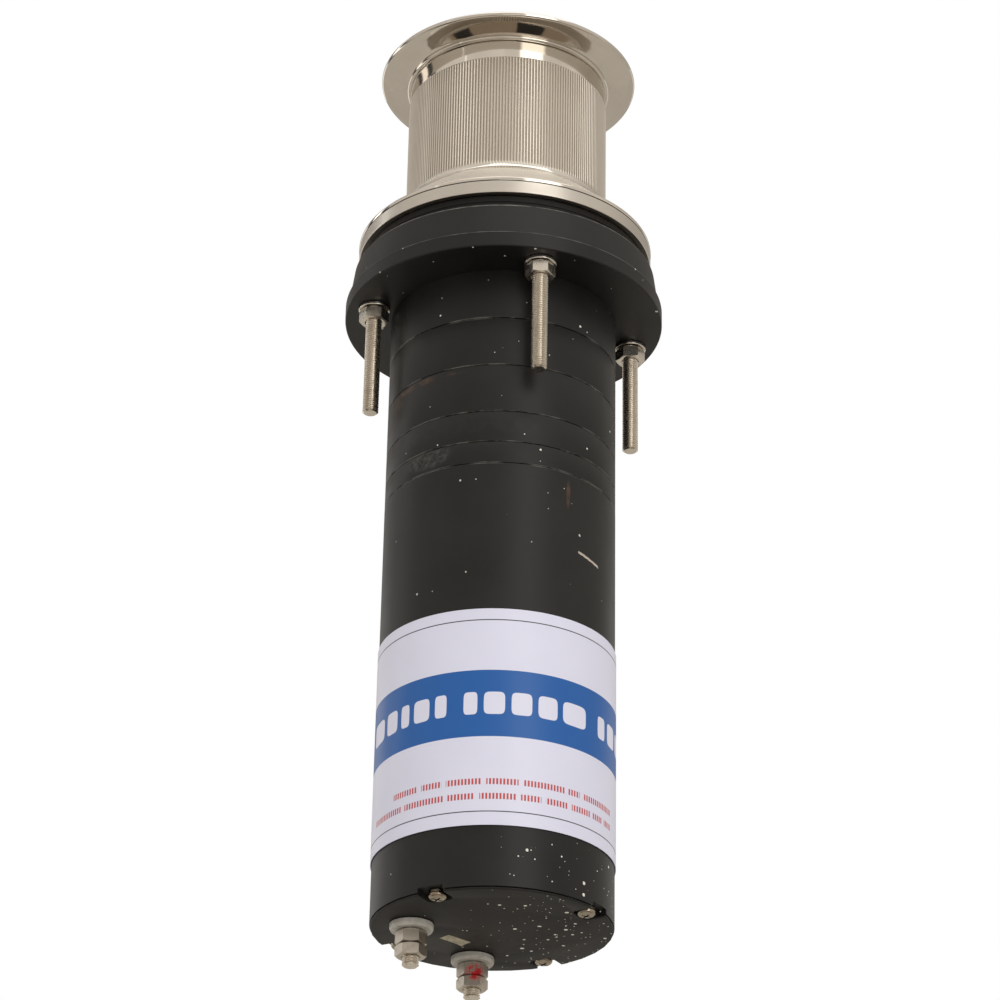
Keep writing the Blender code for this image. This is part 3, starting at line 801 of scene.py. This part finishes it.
def make_drum(finishes):
    """The fluted barrel with its flared foot, the dished crown flange and the threaded cap."""
    bottom, top = heights("drum_barrel")
    neck_r, bore_r, hollow_r = 51.2, 13.0, 21.0
    outline = [(bore_r, top), (neck_r - 0.5, top), (neck_r - 0.3, top + 0.15), (neck_r - 0.1, top + 0.1)]
    outline += [(neck_r, top - 0.1), (neck_r, top - 1.4), (neck_r, 122.7), (neck_r, 122.42), (51.45, 122.3)]
    outline += [(51.65, 122.1), (RIDGE_R, 121.9), (RIDGE_R, 121.5), (RIDGE_R, 61.0), (RIDGE_R, 59.5)]
    outline += arc((RIDGE_R + 6.0, 58.0), 6.0, 180, 220, 7)
    outline += [(54.0, 53.05), (73.6, 35.05)]
    outline += arc((73.95, 34.0), 1.05, 52, -20, 5)
    outline += [(74.85, 33.2), (74.7, bottom), (74.2, bottom), (70.5, bottom), (46.5, 54.0), (46.5, 121.0)]
    outline += [(hollow_r, 121.0), (hollow_r, 34.0), (bore_r, 34.0)]
    work = turn_outline(outline, flute_angles(FLUTES, LAND))
    barrel = finish_with(piece_from(work, "fluted_drum"), finishes["drum"])
    flutes = {"Flutes": FLUTES, "Land_Share": LAND, "Depth": 0.33, "Low_End": 57.6, "High_End": 121.95}
    barrel = run_tree(barrel, flute_tree(), finishes["drum"], Run_Out=1.0, **flutes)
    keep_on("drum", barrel, "polished_steel", "drum_barrel")

    low, high = heights("drum_crown")
    plate_r, rim_r, steps = 24.0, 65.2, 14
    outline = [(bore_r, high), (plate_r - 0.8, high), (plate_r, high - 0.02)]
    for step in range(1, steps):
        out = step / steps
        outline.append((plate_r + (rim_r - plate_r) * out, high - 6.9 * out ** 2))
    outline += arc((rim_r, 138.6), 1.5, 80, -76, 9)
    outline += [(62.0, 136.62), (58.0, 136.0), (54.6, 135.3), (53.4, 134.95), (53.0, 134.75)]
    outline += arc((52.0, 133.85), 1.0, 55, -88, 8)
    outline += [(51.3, low), (bore_r, low)]
    crown = finish_with(turned("crown_flange", outline), finishes["crown"])
    keep_on("drum", crown, "polished_steel", "drum_crown")
    cap = finish_with(rounded_copy("crown_cap_plug", "crown_cap", 0.35), finishes["crown"])
    keep_on("drum", cap, "polished_steel", "crown_cap")


# ---------------- deck fitting


def make_deck_fitting(finishes):
    """Steel base ring, its gasket and the black disc that sits on the deck."""
    inner = 31.0
    outer, low, high = reach("base_bezel")
    ring = [(inner, low, 0.3), (outer - 0.1, low, 0.35), (outer, low + 1.0, 0.4), (outer, high + 0.2, 0.25)]
    ring += [(70.0, high + 0.2, 0.2), (69.0, high, 0.0), (inner, high, 0.5)]
    piece = finish_with(turned("base_ring", eased(ring)), finishes["ring"])
    keep_on("root", piece, "polished_steel", "base_bezel")

    outer, low, high = reach("bezel_gasket")
    mid = (low + high) / 2
    gasket = [(inner, low, 0.3), (outer, low, 0.5), (outer, mid - 0.5, 0.3), (outer - 0.6, mid, 0.3)]
    gasket += [(outer, mid + 0.5, 0.3), (outer, high, 0.5), (inner, high, 0.3)]
    piece = finish_with(turned("base_ring_gasket", eased(gasket)), finishes["rubber"])
    keep_on("root", piece, "black_rubber", "bezel_gasket")

    outer, low, high = reach("deck_base")
    step_r, shelf, bore_r = 30.6, 17.4, 22.3
    disc = [(step_r, high, 0.6), (bore_r, high, 0.6), (bore_r, 3.4, 0.3), (24.0, low, 0.3)]
    disc += [(outer - 0.4, low, 0.35), (outer, low + 0.6, 0.5), (76.7, shelf - 0.6, 0.4), (76.2, shelf, 0.4)]
    disc += [(step_r, shelf, 0.6)]
    piece = finish_with(turned("deck_disc", eased(disc)), finishes["disc"])
    keep_on("root", piece, "black_paint", "deck_base")


# ---------------- gearbox and motor


def make_gearbox(finishes):
    """Flange with its neck, two ring gears, the adapter and the motor's front bell."""
    outer, low, high = reach("gearbox_housing")
    neck = reach("output_ring_gear")[0]
    bore_r, flange_foot = 45.0, -8.6
    shape = [(bore_r, high - 0.2, 0.4), (outer, high, 0.6), (outer, flange_foot, 0.7)]
    shape += [(neck, flange_foot, 0.0), (neck, low, 0.35), (bore_r, low, 0.3)]
    piece = finish_with(turned("gearbox_flange", eased(shape)), finishes["flange"])
    keep_on("root", piece, "black_paint", "gearbox_housing")
    for node, name in (
        ("output_ring_gear", "output_ring_gear_case"),
        ("input_ring_gear", "input_ring_gear_case"),
        ("adapter_plate", "motor_adapter"),
        ("motor_front_bell", "front_bell"),
    ):
        piece = finish_with(rounded_copy(name, node, 0.3, neck - 0.5), finishes["casing"])
        keep_on("root", piece, "black_paint", node)


def make_motor(finishes):
    """The motor's tube, its notched end bell and the printed film round the tube."""
    outer, low, high = reach("motor_tube")
    inner = outer - 4.5
    tube = [(inner, low, 0.1), (outer, low, 0.2), (outer, low + 3.2, 0.0), (outer, high - 3.0, 0.0)]
    tube += [(outer, high, 0.35), (inner, high, 0.2)]
    piece = turned("motor_barrel", eased(tube))
    cut_notches(piece, low + 2.15)
    keep_on("root", finish_with(piece, finishes["tube"]), "black_paint", "motor_tube")
    piece = finish_with(rounded_copy("end_bell", "motor_end_bell", 0.3, 6.5), finishes["bell"])
    keep_on("root", piece, "black_paint", "motor_end_bell")
    keep_on("root", finish_with(label_sleeve(), finishes["label"]), "label_film", "motor_label")
    keep_on("root", finish_with(sticker(), finishes["sticker"]), "label_film")


def cut_notches(piece, ceiling):
    """Opens the four round-cornered pockets for the bolt heads into the lower end of the tube."""
    half, inner, outer, corner_r, depth = 6.5, 45.2, 62.0, 3.0, 9.0
    shape = [(outer, half)] + arc((inner + corner_r, half - corner_r), corner_r, 90, 180, 6)
    shape += arc((inner + corner_r, corner_r - half), corner_r, 180, 270, 6) + [(outer, -half)]
    for angle in (60, 150, 240, 330):
        work = bmesh.new()
        base = work.faces.new([work.verts.new((x * MM, y * MM, (ceiling - depth) * MM)) for x, y in shape])
        block = bmesh.ops.extrude_face_region(work, geom=[base])
        moved = [item for item in block["geom"] if isinstance(item, bmesh.types.BMVert)]
        bmesh.ops.translate(work, vec=(0.0, 0.0, depth * MM), verts=moved)
        bmesh.ops.recalc_face_normals(work, faces=work.faces)
        bmesh.ops.rotate(work, matrix=Matrix.Rotation(math.radians(angle), 3, "Z"), verts=work.verts)
        take_away(piece, piece_from(work, "pocket_cutter"))
    return smooth(piece)


def take_away(piece, cutter):
    """Cuts one mesh out of another and removes the cutter."""
    cut = piece.modifiers.new("cut", "BOOLEAN")
    cut.operation = "DIFFERENCE"
    cut.solver = "EXACT"
    cut.object = cutter
    settle(piece)
    bpy.data.objects.remove(cutter)


def label_sleeve():
    """A thin film wrapped round the tube, open at the back."""
    low, high = heights("motor_label")
    outer, thick, half = 57.55, 0.25, math.radians(125)
    steps, rows = 190, 12
    work = bmesh.new()
    grids = []
    for radius in (outer, outer - thick):
        grid = []
        for row in range(rows + 1):
            z = (low + (high - low) * row / rows) * MM
            angles = [-half + 2 * half * step / steps for step in range(steps + 1)]
            line = [(radius * math.sin(angle) * MM, -radius * math.cos(angle) * MM, z) for angle in angles]
            grid.append([work.verts.new(spot) for spot in line])
        grids.append(grid)
    return shell_from(work, "label_sleeve", *grids)


def sticker():
    """A small blank paper tab on the underside of the end bell, between the terminals."""
    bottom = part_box("motor_end_bell")[0].z
    centre = Vector((-17.1, 13.0)) * MM
    turn, long_side, short_side = math.radians(43), 14.0, 6.4
    along = Vector((math.cos(turn), math.sin(turn)))
    across = Vector((-along.y, along.x))
    long_cells, wide_cells = 14, 6
    work = bmesh.new()
    grids = []
    for drop in (0.02, -0.1):
        grid = []
        for u in (i / long_cells for i in range(long_cells + 1)):
            line = []
            for v in (j / wide_cells for j in range(wide_cells + 1)):
                curl = 0.35 * MM * max(0.0, u - 0.75) * 4 * max(0.0, v - 0.5) * 2
                flat = centre + along * (u - 0.5) * long_side * MM + across * (v - 0.5) * short_side * MM
                line.append(work.verts.new((flat.x, flat.y, bottom + drop * MM - curl)))
            grid.append(line)
        grids.append(grid)
    return shell_from(work, "inspection_sticker", *grids)


# ---------------- fasteners


def rod(name, radius, bottom, top, threaded_from, threaded_to, rows_per_pitch):
    """A plain rod on the axis with chamfered ends and close rows where the thread goes."""
    outline = [(0.0, bottom), (radius - 0.9, bottom), (radius - 0.1, bottom + 0.8)]
    run = threaded_to - threaded_from
    count = int(run / THREAD["Pitch"] * rows_per_pitch)
    outline += [(radius, threaded_from + run * row / count) for row in range(count + 1)]
    outline += [(radius - 0.1, top - 0.7), (radius - 0.8, top), (0.0, top)]
    return turned(name, outline, 26)


def hexagon_radius(angle, flats):
    """Distance from the centre to the side of a hexagon that has a corner at angle 0."""
    return flats / 2 / math.cos((angle % math.radians(60)) - math.radians(30))


def nut(name, bottom, top):
    """A hexagon M8 nut on the axis: chamfered corners, countersunk bore."""
    flats, bore, mouth = 13.0, 3.95, 4.55
    slope = math.tan(math.radians(30))
    start = flats / 2 * 0.955
    mid = (bottom + top) / 2
    rows = (
        (bore, bottom + 0.7, 0), (mouth, bottom, 0), (start, bottom, 0), (None, bottom, 1), (None, mid, 0),
        (None, top, -1), (start, top, 0), (mouth, top, 0), (bore, top - 0.7, 0),
    )  # radius, or None for the hexagon's side; height; which way the chamfer takes it
    work = bmesh.new()
    rings = []
    for radius, height, chamfer in rows:
        ring = []
        for angle in even_angles(FINE_STEPS):
            side = hexagon_radius(angle, flats)
            z = height + chamfer * (side - start) * slope
            r = side if radius is None else radius
            ring.append(work.verts.new((r * math.cos(angle) * MM, r * math.sin(angle) * MM, z * MM)))
        rings.append(ring)
    skin(work, rings + rings[:1])
    bmesh.ops.recalc_face_normals(work, faces=work.faces)
    return piece_from(work, name)


def pan_bolt(name, head_top, head_bottom, radius, shank_top):
    """A pan head that faces down, with a cross recess, its split spring washer above and its long shank."""
    mid = head_top - 1.45
    outline = [(0.0, mid), (radius - 0.25, mid), (radius, mid - 0.3), (radius, mid - 1.1)]
    outline += [(radius * 0.94, mid - 1.6), (radius * 0.8, head_bottom + 0.32)]
    outline += [(radius * 0.6, head_bottom + 0.06), (radius * 0.4, head_bottom), (0.0, head_bottom)]
    head = turned(name, outline, 48)
    for turn in (0.0, math.pi / 2):
        work = bmesh.new()
        bmesh.ops.create_cube(work, size=1.0)
        bmesh.ops.scale(work, vec=(radius * 1.1 * MM, 0.95 * MM, 2.6 * MM), verts=work.verts)
        spin = Matrix.Rotation(turn + 0.5, 4, "Z")
        place = Matrix.Translation((0, 0, head_bottom * MM)) @ spin
        bmesh.ops.transform(work, matrix=place, verts=work.verts)
        take_away(head, piece_from(work, "cross_cutter"))
    work = bmesh.new()
    work.from_mesh(head.data)
    add_spring_washer(work, radius * 0.94, 2.5, head_top, mid)
    add_shank(work, 2.42, mid + 0.02, shank_top)
    work.to_mesh(head.data)
    work.free()
    return smooth(head)


def add_spring_washer(work, outer, inner, top, bottom):
    """Adds a split ring whose ends part a little in height."""
    steps = 40
    gap = math.radians(14)
    thick = (top - bottom) * 0.72
    rings = []
    for step in range(steps + 1):
        share = step / steps
        angle = gap / 2 + (2 * math.pi - gap) * share
        base = bottom + 0.04 + (top - bottom - thick - 0.08) * share
        ring = []
        for r, z in ((inner, base), (outer, base), (outer, base + thick), (inner, base + thick)):
            ring.append(work.verts.new((r * math.cos(angle) * MM, r * math.sin(angle) * MM, z * MM)))
        rings.append(ring)
    close_rod(work, rings)


def close_rod(work, rings):
    """Skins a row of rings and closes both ends."""
    made = [work.faces.new(rings[0]), work.faces.new(rings[-1])] + skin(work, rings)
    bmesh.ops.recalc_face_normals(work, faces=made)


def add_shank(work, radius, bottom, top):
    """Adds a plain closed rod on the axis."""
    corners = [(radius * math.cos(a) * MM, radius * math.sin(a) * MM) for a in even_angles(24)]
    close_rod(work, [[work.verts.new((x, y, height * MM)) for x, y in corners] for height in (bottom, top)])


def make_studs(finishes):
    """Four threaded mounting studs with their washers and nuts."""
    ring = ring_tree()
    layout = {"Count": 4, "Ring_Radius": 67.5, "First_Angle": 15.0, "Angle_Step": 90.0}
    low, high = heights("mounting_stud_1")
    stud = rod("mounting_studs", 4.0, low, high, low + 0.8, -3.0, 8)
    stud = run_tree(stud, thread_tree(), finishes["stud"], Low_End=low + 0.9, High_End=-3.0, **THREAD)
    stud = run_tree(stud, ring, finishes["stud"], **layout)
    keep_on("root", stud, "plain_steel", *numbered("mounting_stud", 4))

    low, high = heights("stud_washer_1")
    flat = [(4.2, low, 0.15), (7.95, low, 0.35), (7.95, high, 0.15), (4.2, high, 0.1)]
    washer = turned("stud_washers", eased(flat), FINE_STEPS)
    washer = run_tree(washer, ring, finishes["washer"], **layout)
    keep_on("root", washer, "plain_steel", *numbered("stud_washer", 4))

    hexagon = run_tree(nut("stud_nuts", *heights("stud_nut_1")), ring, finishes["nut"], **layout)
    keep_on("root", hexagon, "plain_steel", *numbered("stud_nut", 4))
    return ring


def make_end_fasteners(finishes, ring):
    """Through bolts in the end bell's notches, and the two terminals with their insulators and nuts."""
    low, high = heights("through_bolt_1")
    bolt = pan_bolt("through_bolts", low + 4.0, low, 4.3, high)
    layout = {"Count": 4, "Ring_Radius": 49.75, "First_Angle": 60.0, "Angle_Step": 90.0}
    bolt = run_tree(bolt, ring, finishes["bolt"], **layout)
    keep_on("root", bolt, "plain_steel", *numbered("through_bolt", 4))

    layout = {"Count": 2, "Ring_Radius": 38.0, "First_Angle": 192.5, "Angle_Step": -89.0}
    low, high = heights("terminal_stud_1")
    stud = rod("terminal_studs", 4.0, low, high, low + 0.8, -331.0, 9)
    stud = run_tree(stud, thread_tree(), finishes["stud"], Low_End=low + 0.9, High_End=-332.0, **THREAD)
    stud = run_tree(stud, ring, finishes["stud"], **layout)
    keep_on("root", stud, "plain_steel", *numbered("terminal_stud", 2))

    for name, node in (("terminal_nuts", "terminal_nut"), ("terminal_lock_nuts", "terminal_lock_nut")):
        hexagon = run_tree(nut(name, *heights(f"{node}_1")), ring, finishes["terminal"], **layout)
        keep_on("root", hexagon, "plain_steel", *numbered(node, 2))

    low, high = heights("terminal_insulator_1")
    bore, collar_r, lip_r, lip = 4.1, 6.0, 10.3, -332.1
    shape = [(bore, low, 0.2), (9.7, low, 0.5), (lip_r, low + 1.2, 0.6), (lip_r, lip, 0.4)]
    shape += [(collar_r, lip, 0.2), (collar_r, high, 0.3), (bore, high, 0.2)]
    sleeve = turned("terminal_insulators", eased(shape), FINE_STEPS)
    sleeve = run_tree(sleeve, ring, finishes["nylon"], **layout)
    keep_on("root", sleeve, "white_nylon", *numbered("terminal_insulator", 2))


# ---------------- studio


ROOM_TONES = (
    (0.0, (0.56, 0.52, 0.46, 1)),
    (0.46, (0.58, 0.54, 0.48, 1)),
    (0.50, (0.80, 0.76, 0.70, 1)),
    (0.60, (0.80, 0.75, 0.68, 1)),
    (0.74, (0.79, 0.74, 0.675, 1)),
    (0.86, (0.84, 0.80, 0.74, 1)),
    (1.0, (0.95, 0.93, 0.90, 1)),
)  # from straight down to straight up
BRIGHT_STRIPS = ((27, 15, 0, 2.3), (-110, 6, 9, 2.0), (-52, 0.9, 0, 1.3))
# each strip's azimuth, half width and dark frame in degrees, and how bright it is


def make_surroundings():
    """White behind the object; the metal mirrors a beige room, darker behind, with upright bright strips."""
    world = bpy.data.worlds.new("studio_room")
    SCENE.world = world
    world.use_nodes = True
    room = Recipe(world.node_tree)
    way = room.node("ShaderNodeTexCoord").outputs["Generated"]
    x, y, z = room.split(way)
    azimuth = room.math("ARCTAN2", x, room.both(y, -1.0))
    beige = room.ramp(room.span(z, -1.0, 1.0), ROOM_TONES)
    shade = room.colours(room.patches(2.3, 3.0, 0.4, 0.7, 0.55, way), beige, (0.42, 0.37, 0.30, 1))
    colour = room.colours(0.35, beige, shade)
    behind = room.both(room.span(y, -0.1, 0.7, 0.0, 0.8), room.span(z, -0.05, 0.1))
    colour = room.colours(behind, colour, (0.33, 0.30, 0.265, 1))
    forward = room.both(room.span(y, 0.2, -0.4), room.window(z, -0.52, 0.02, 0.06))
    colour = room.colours(forward, colour, (0.69, 0.65, 0.60, 1))
    tall = room.window(z, -0.52, 0.66, 0.03)
    for centre, wide, frame_wide, glow in BRIGHT_STRIPS:
        across = room.math("ABSOLUTE", room.less(azimuth, math.radians(centre)))
        if frame_wide:
            border = room.span(across, math.radians(wide + frame_wide), math.radians(wide + frame_wide * 0.8))
            colour = room.colours(room.both(border, tall), colour, (0.10, 0.10, 0.11, 1))
        light = room.both(room.span(across, math.radians(wide), math.radians(wide * 0.75)), tall)
        colour = room.colours(light, colour, (glow, glow * 0.97, glow * 0.92, 1))
    seen = room.node("ShaderNodeLightPath").outputs["Is Camera Ray"]
    backdrop = room.tree.nodes["Background"]
    room.feed(backdrop.inputs["Color"], room.colours(seen, colour, (1.0, 1.0, 1.0, 1)))
    backdrop.inputs["Strength"].default_value = 1.0


def make_floor():
    """A plain pale floor, well below the object and the camera."""
    work = bmesh.new()
    bmesh.ops.create_grid(work, x_segments=8, y_segments=8, size=2.1)
    bmesh.ops.translate(work, vec=(0.0, 0.0, -1.15), verts=work.verts)
    floor = piece_from(work, "floor")
    pale = Finish("pale_floor", Metallic=0.0, Roughness=0.8)
    tint = pale.patches(3.0, 3.0, 0.3, 0.7, 0.5)
    pale.set("Base Color", pale.colours(tint, (0.64, 0.62, 0.58, 1), (0.70, 0.68, 0.64, 1)))
    finish_with(floor, pale.material)


CARDS = (
    ("brown_card", 0, 95, -1.13, (160, 148, 133)),
    ("black_card_right", 31, 20, -1.12, (30, 30, 33)),
    ("black_card_left", -72, 14, -1.12, (30, 30, 33)),
)  # name, azimuth and half width in degrees, height in metres and tone


def make_cards():
    """Flat cards over the floor that only reflections show: a brown one and two black ones."""
    near, far, steps = 0.62, 1.6, 24
    for name, centre, half_width, height, tone in CARDS:
        work = bmesh.new()
        angles = [math.radians(centre + half_width * (step * 2 / steps - 1)) for step in range(steps + 1)]
        rows = []
        for distance in (far, near):
            line = [(distance * math.sin(a), -distance * math.cos(a), height) for a in angles]
            rows.append([work.verts.new(spot) for spot in line])
        skin(work, rows, closed=False)
        card = piece_from(work, name)
        dull = Finish(name + "_paper", Metallic=0.0, Roughness=0.9)
        grain = dull.patches(9.0, 3.0, 0.3, 0.7, 0.5)
        dull.set("Base Color", dull.colours(grain, paint(*tone), paint(*[part + 6 for part in tone])))
        finish_with(card, dull.material)
        card.visible_camera = card.visible_diffuse = card.visible_shadow = False


def panel(name, azimuth, elevation, distance, size, power):
    """A square soft light that faces the object."""
    lamp = bpy.data.lights.new(name, "AREA")
    lamp.shape = "RECTANGLE"
    lamp.size, lamp.size_y = size
    lamp.energy = power
    holder = bpy.data.objects.new(name, lamp)
    SCENE.collection.objects.link(holder)
    a, e = math.radians(azimuth), math.radians(elevation)
    back = Vector((math.sin(a) * math.cos(e), -math.cos(a) * math.cos(e), math.sin(e)))
    holder.location = Vector((0.0, 0.0, -0.1)) + back * distance
    holder.rotation_mode = "QUATERNION"
    holder.rotation_quaternion = back.to_track_quat("Z", "Y")
    holder.visible_camera = False
    return holder


def make_lights():
    """Broad soft panels from both sides, from above and from behind."""
    for side, azimuth, power in (("left", -38, 4.9), ("right", 48, 4.1)):
        soft = panel(f"front_{side}_panel", azimuth, -13, 2.5, (1.5, 1.4), power)
        soft.visible_glossy = False
    panel("low_front_strip", 14, -17, 2.2, (1.5, 0.2), 1.8)
    panel("top_panel", 20, 78, 2.4, (2.0, 2.0), 14)
    panel("rear_left_panel", -140, 8, 2.6, (1.4, 1.6), 5.0)
    panel("rear_right_panel", 140, 8, 2.6, (1.4, 1.6), 2.4)


def make_camera():
    """A long lens from in front and below, tipped up at the object."""
    data = bpy.data.cameras.new("camera")
    data.lens = 118.76
    data.sensor_width = 36.0
    data.clip_start, data.clip_end = 0.05, 30.0
    holder = bpy.data.objects.new("camera", data)
    SCENE.collection.objects.link(holder)
    yaw, pitch, roll = math.radians(-0.003), math.radians(27.05), math.radians(1.115)
    forward = Vector((math.sin(yaw) * math.cos(pitch), math.cos(yaw) * math.cos(pitch), math.sin(pitch)))
    level = Vector((math.cos(yaw), -math.sin(yaw), 0.0))
    upright = level.cross(forward)
    right = level * math.cos(roll) + upright * math.sin(roll)
    up = upright * math.cos(roll) - level * math.sin(roll)
    turn = Matrix((right, up, -forward)).transposed().to_4x4()
    holder.matrix_world = Matrix.Translation((0.0, -1.4551, -0.8499)) @ turn
    SCENE.camera = holder
    SCENE.view_settings.view_transform = "Standard"


# ---------------- making it all


def dress_inner_nodes():
    """Gives every CAD node that stays a grained finish of its own kind."""
    finishes = {slot: inner_finish(*row) for slot, row in INNER_FINISHES.items()}
    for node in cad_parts.values():
        for held in node.material_slots:
            held.material = finishes[held.material.name.split(".")[0]]


def main():
    bright = paint(218, 211, 201)
    finishes = {
        "drum": fluted_steel("fluted_steel", bright),
        "crown": turned_steel("crown_steel", paint(208, 201, 191), 0.035, 0.15),
        "ring": turned_steel("base_ring_steel", paint(204, 198, 189), 0.3),
        "rubber": rubber(),
        "disc": disc_paint(),
        "flange": flange_paint(),
        "casing": casing_paint(),
        "tube": tube_paint(),
        "bell": bell_paint(),
        "label": label_print(),
        "sticker": sticker_paper(),
        "stud": plain_steel("stud_steel", paint(214, 206, 194), 0.26, 0.3).material,
        "washer": plain_steel("washer_steel", paint(228, 223, 215), 0.16, 0.15).material,
        "nut": plain_steel("nut_steel", paint(216, 209, 198), 0.26, 0.25).material,
        "bolt": plain_steel("bolt_steel", paint(158, 149, 134), 0.24, 0.8).material,
        "terminal": terminal_steel(),
        "nylon": nylon(),
    }
    make_camera()
    make_surroundings()
    make_floor()
    make_cards()
    make_lights()
    dress_inner_nodes()
    make_drum(finishes)
    make_deck_fitting(finishes)
    make_gearbox(finishes)
    make_motor(finishes)
    ring = make_studs(finishes)
    make_end_fasteners(finishes, ring)


main()
